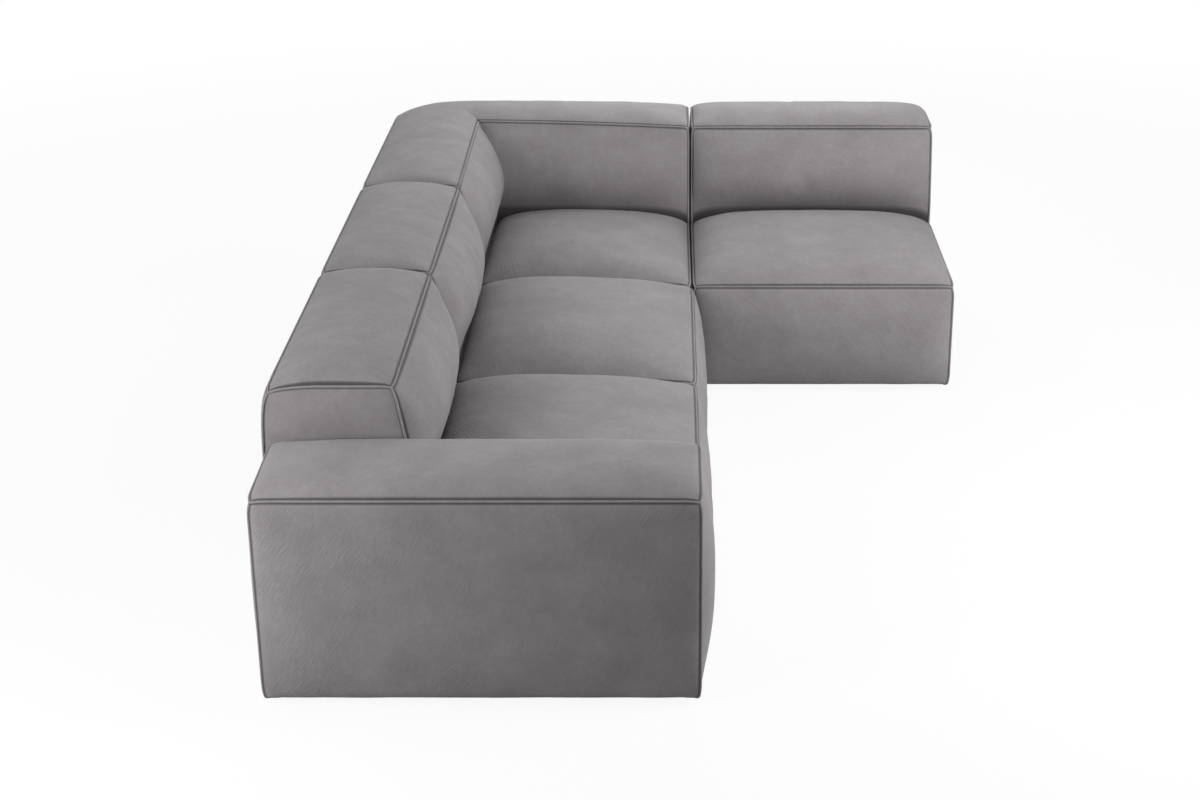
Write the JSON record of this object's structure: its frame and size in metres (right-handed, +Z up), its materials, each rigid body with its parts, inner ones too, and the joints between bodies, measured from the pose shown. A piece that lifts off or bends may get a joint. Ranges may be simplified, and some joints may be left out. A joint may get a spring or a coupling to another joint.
{
  "type": "sectional sofa",
  "caption": "Low L-shaped modular sofa of padded grey nubuck leather blocks: crowned seats, leaning backs, a mitred corner and one broad arm, hooked together underneath.",
  "frame": {"origin": "on the floor, under the middle of the sofa's bounding box", "axes": "+Z up; +Y along the long leg, from the arm to the corner; +X towards the right unit's open end"},
  "size_m": [1.9156, 3.1107, 0.7241],
  "materials": {
    "cover_leather": "nubuck",
    "frame_timber": "sawn",
    "spring_steel": "drawn wire",
    "clip_plastic": "moulded",
    "foam": "open cell foam",
    "webbing": "woven elastic",
    "lining": "spunbond sheet",
    "foot_plastic": "moulded",
    "zinc_steel": "zinc plated",
    "connector_steel": "zinc plated"
  },
  "bodies": {
    "corner": {"corner_back_foam": "foam", "corner_back_frame": "frame_timber", "corner_back_webbing": "webbing", "corner_connector_screws": "zinc_steel", "corner_connectors": "connector_steel", "corner_feet": "foot_plastic", "corner_frame_bolts": "zinc_steel", "corner_left_back_cover": "cover_leather", "corner_lining": "lining", "corner_rear_back_cover": "cover_leather", "corner_seat_cover": "cover_leather", "corner_seat_foam": "foam", "corner_seat_frame": "frame_timber", "corner_seat_springs": "spring_steel", "corner_spring_clips": "clip_plastic"},
    "middle": {"middle_back_cover": "cover_leather", "middle_back_foam": "foam", "middle_back_frame": "frame_timber", "middle_back_webbing": "webbing", "middle_connector_screws": "zinc_steel", "middle_connectors": "connector_steel", "middle_feet": "foot_plastic", "middle_frame_bolts": "zinc_steel", "middle_lining": "lining", "middle_seat_cover": "cover_leather", "middle_seat_foam": "foam", "middle_seat_frame": "frame_timber", "middle_seat_springs": "spring_steel", "middle_spring_clips": "clip_plastic"},
    "end": {"end_arm_cover": "cover_leather", "end_arm_foam": "foam", "end_arm_frame": "frame_timber", "end_back_cover": "cover_leather", "end_back_foam": "foam", "end_back_frame": "frame_timber", "end_back_webbing": "webbing", "end_connector_screws": "zinc_steel", "end_connectors": "connector_steel", "end_feet": "foot_plastic", "end_frame_bolts": "zinc_steel", "end_lining": "lining", "end_seat_cover": "cover_leather", "end_seat_foam": "foam", "end_seat_frame": "frame_timber", "end_seat_springs": "spring_steel", "end_spring_clips": "clip_plastic"},
    "right": {"right_back_cover": "cover_leather", "right_back_foam": "foam", "right_back_frame": "frame_timber", "right_back_webbing": "webbing", "right_connector_screws": "zinc_steel", "right_connectors": "connector_steel", "right_feet": "foot_plastic", "right_frame_bolts": "zinc_steel", "right_lining": "lining", "right_seat_cover": "cover_leather", "right_seat_foam": "foam", "right_seat_frame": "frame_timber", "right_seat_springs": "spring_steel", "right_spring_clips": "clip_plastic"}
  },
  "joints": [
    {"name": "middle_lift", "type": "slide", "parent": "corner", "child": "middle", "axis": [0, 0, 1], "range_m": [0, 0.06]},
    {"name": "end_lift", "type": "slide", "parent": "middle", "child": "end", "axis": [0, 0, 1], "range_m": [0, 0.06]},
    {"name": "right_lift", "type": "slide", "parent": "corner", "child": "right", "axis": [0, 0, 1], "range_m": [0, 0.06]}
  ]
}
